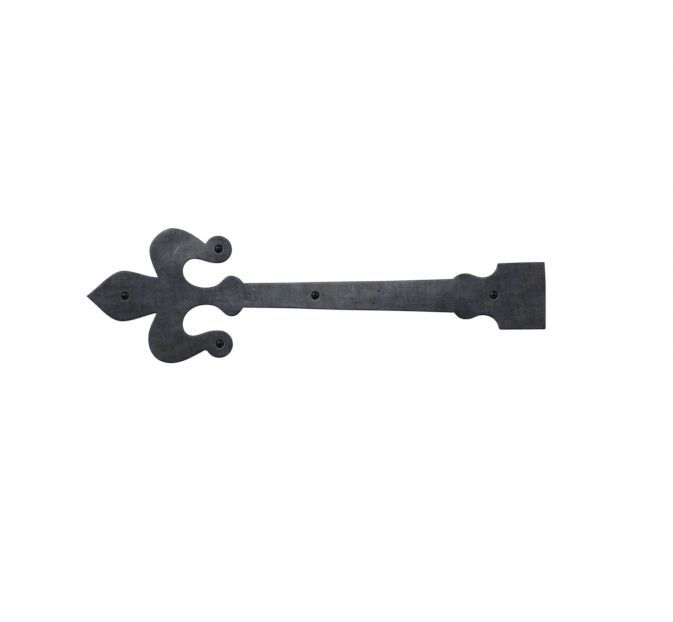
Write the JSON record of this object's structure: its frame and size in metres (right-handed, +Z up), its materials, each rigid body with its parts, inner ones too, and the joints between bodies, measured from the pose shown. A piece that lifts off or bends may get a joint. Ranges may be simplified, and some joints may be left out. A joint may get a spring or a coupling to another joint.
{
  "type": "decorative strap hinge",
  "caption": "Flat forged strap hinge front for a door: fleur-de-lis end, tapered strap and square end plate, fixed with recessed oval-head wood screws.",
  "frame": {"origin": "middle of the hinge edge, on the plate's back face, which lies on the door", "axes": "+X along the strap towards the hinge edge (the spear points to -X), +Y out of the back face into the door, +Z up the door"},
  "size_m": [0.6096, 0.0333, 0.1794],
  "materials": {
    "blackened_iron": "waxed blue-grey forge black, faintly mottled",
    "black_screw": "black oxide, half gloss"
  },
  "bodies": {
    "strap_plate": {"strap_plate": "blackened_iron"},
    "spear_screw": {"spear_screw": "black_screw"},
    "upper_scroll_screw": {"upper_scroll_screw": "black_screw"},
    "lower_scroll_screw": {"lower_scroll_screw": "black_screw"},
    "middle_screw": {"middle_screw": "black_screw"},
    "end_plate_screw": {"end_plate_screw": "black_screw"}
  },
  "joints": [
    {"name": "spear_screw_out", "type": "slide", "parent": "strap_plate", "child": "spear_screw", "axis": [0, -1, 0], "range_m": [0, 0.034]},
    {"name": "upper_scroll_screw_out", "type": "slide", "parent": "strap_plate", "child": "upper_scroll_screw", "axis": [0, -1, 0], "range_m": [0, 0.034]},
    {"name": "lower_scroll_screw_out", "type": "slide", "parent": "strap_plate", "child": "lower_scroll_screw", "axis": [0, -1, 0], "range_m": [0, 0.034]},
    {"name": "middle_screw_out", "type": "slide", "parent": "strap_plate", "child": "middle_screw", "axis": [0, -1, 0], "range_m": [0, 0.034]},
    {"name": "end_plate_screw_out", "type": "slide", "parent": "strap_plate", "child": "end_plate_screw", "axis": [0, -1, 0], "range_m": [0, 0.034]}
  ]
}
